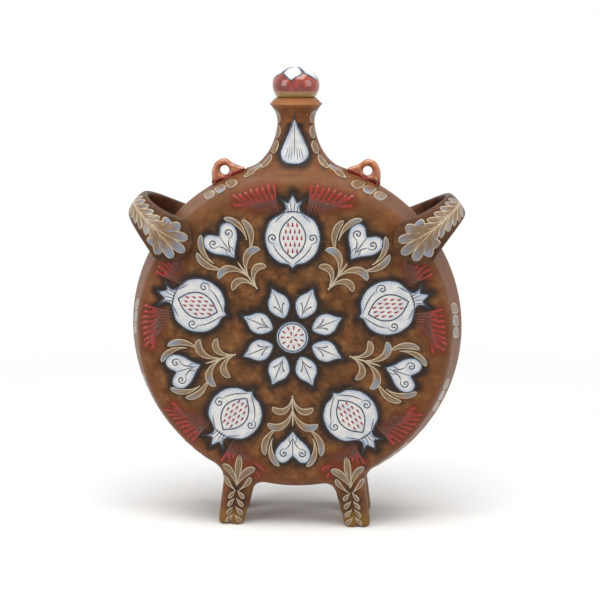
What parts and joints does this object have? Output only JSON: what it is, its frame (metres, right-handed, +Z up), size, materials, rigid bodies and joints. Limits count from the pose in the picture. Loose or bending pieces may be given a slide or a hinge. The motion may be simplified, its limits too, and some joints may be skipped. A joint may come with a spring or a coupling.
{
  "type": "pilgrim flask",
  "caption": "Round flat-sided stoneware flask on cloven feet, with a flared neck, a lift-out knobbed stopper, strap handles over the rim and pierced cord lugs.",
  "frame": {"origin": "on the table, under the middle of the flask: the lowest plane of the feet", "axes": "+Z up along the neck, +X across the flask towards its right-hand handle seen from the front, +Y from the front face to the back face"},
  "size_m": [0.2864, 0.0892, 0.3917],
  "materials": {
    "burnished_body": "burnished brown slip with painted glaze motifs, soft gloss",
    "leaf_handle": "brown ground with tan-outlined leaf strokes, soft gloss",
    "amber_lug": "amber brown glaze, gloss",
    "burnished_foot": "burnished brown slip with leaf sprays, soft gloss",
    "red_knob": "iron red glaze with white petals, gloss",
    "bare_clay": "unglazed buff stoneware, matt",
    "white_glaze": "thick white glaze with blue-black brushed edges, gloss"
  },
  "bodies": {
    "vessel": {"front_shell": "burnished_body", "back_shell": "burnished_body", "neck": "burnished_body", "left_handle": "leaf_handle", "right_handle": "leaf_handle", "left_lug": "amber_lug", "right_lug": "amber_lug", "front_left_foot": "burnished_foot", "front_right_foot": "burnished_foot", "back_left_foot": "burnished_foot", "back_right_foot": "burnished_foot"},
    "stopper": {"stopper_knob": "red_knob", "stopper_plug": "bare_clay"}
  },
  "joints": [
    {"name": "stopper_lift", "type": "slide", "parent": "vessel", "child": "stopper", "axis": [0, 0, 1], "range_m": [0, 0.05]}
  ]
}
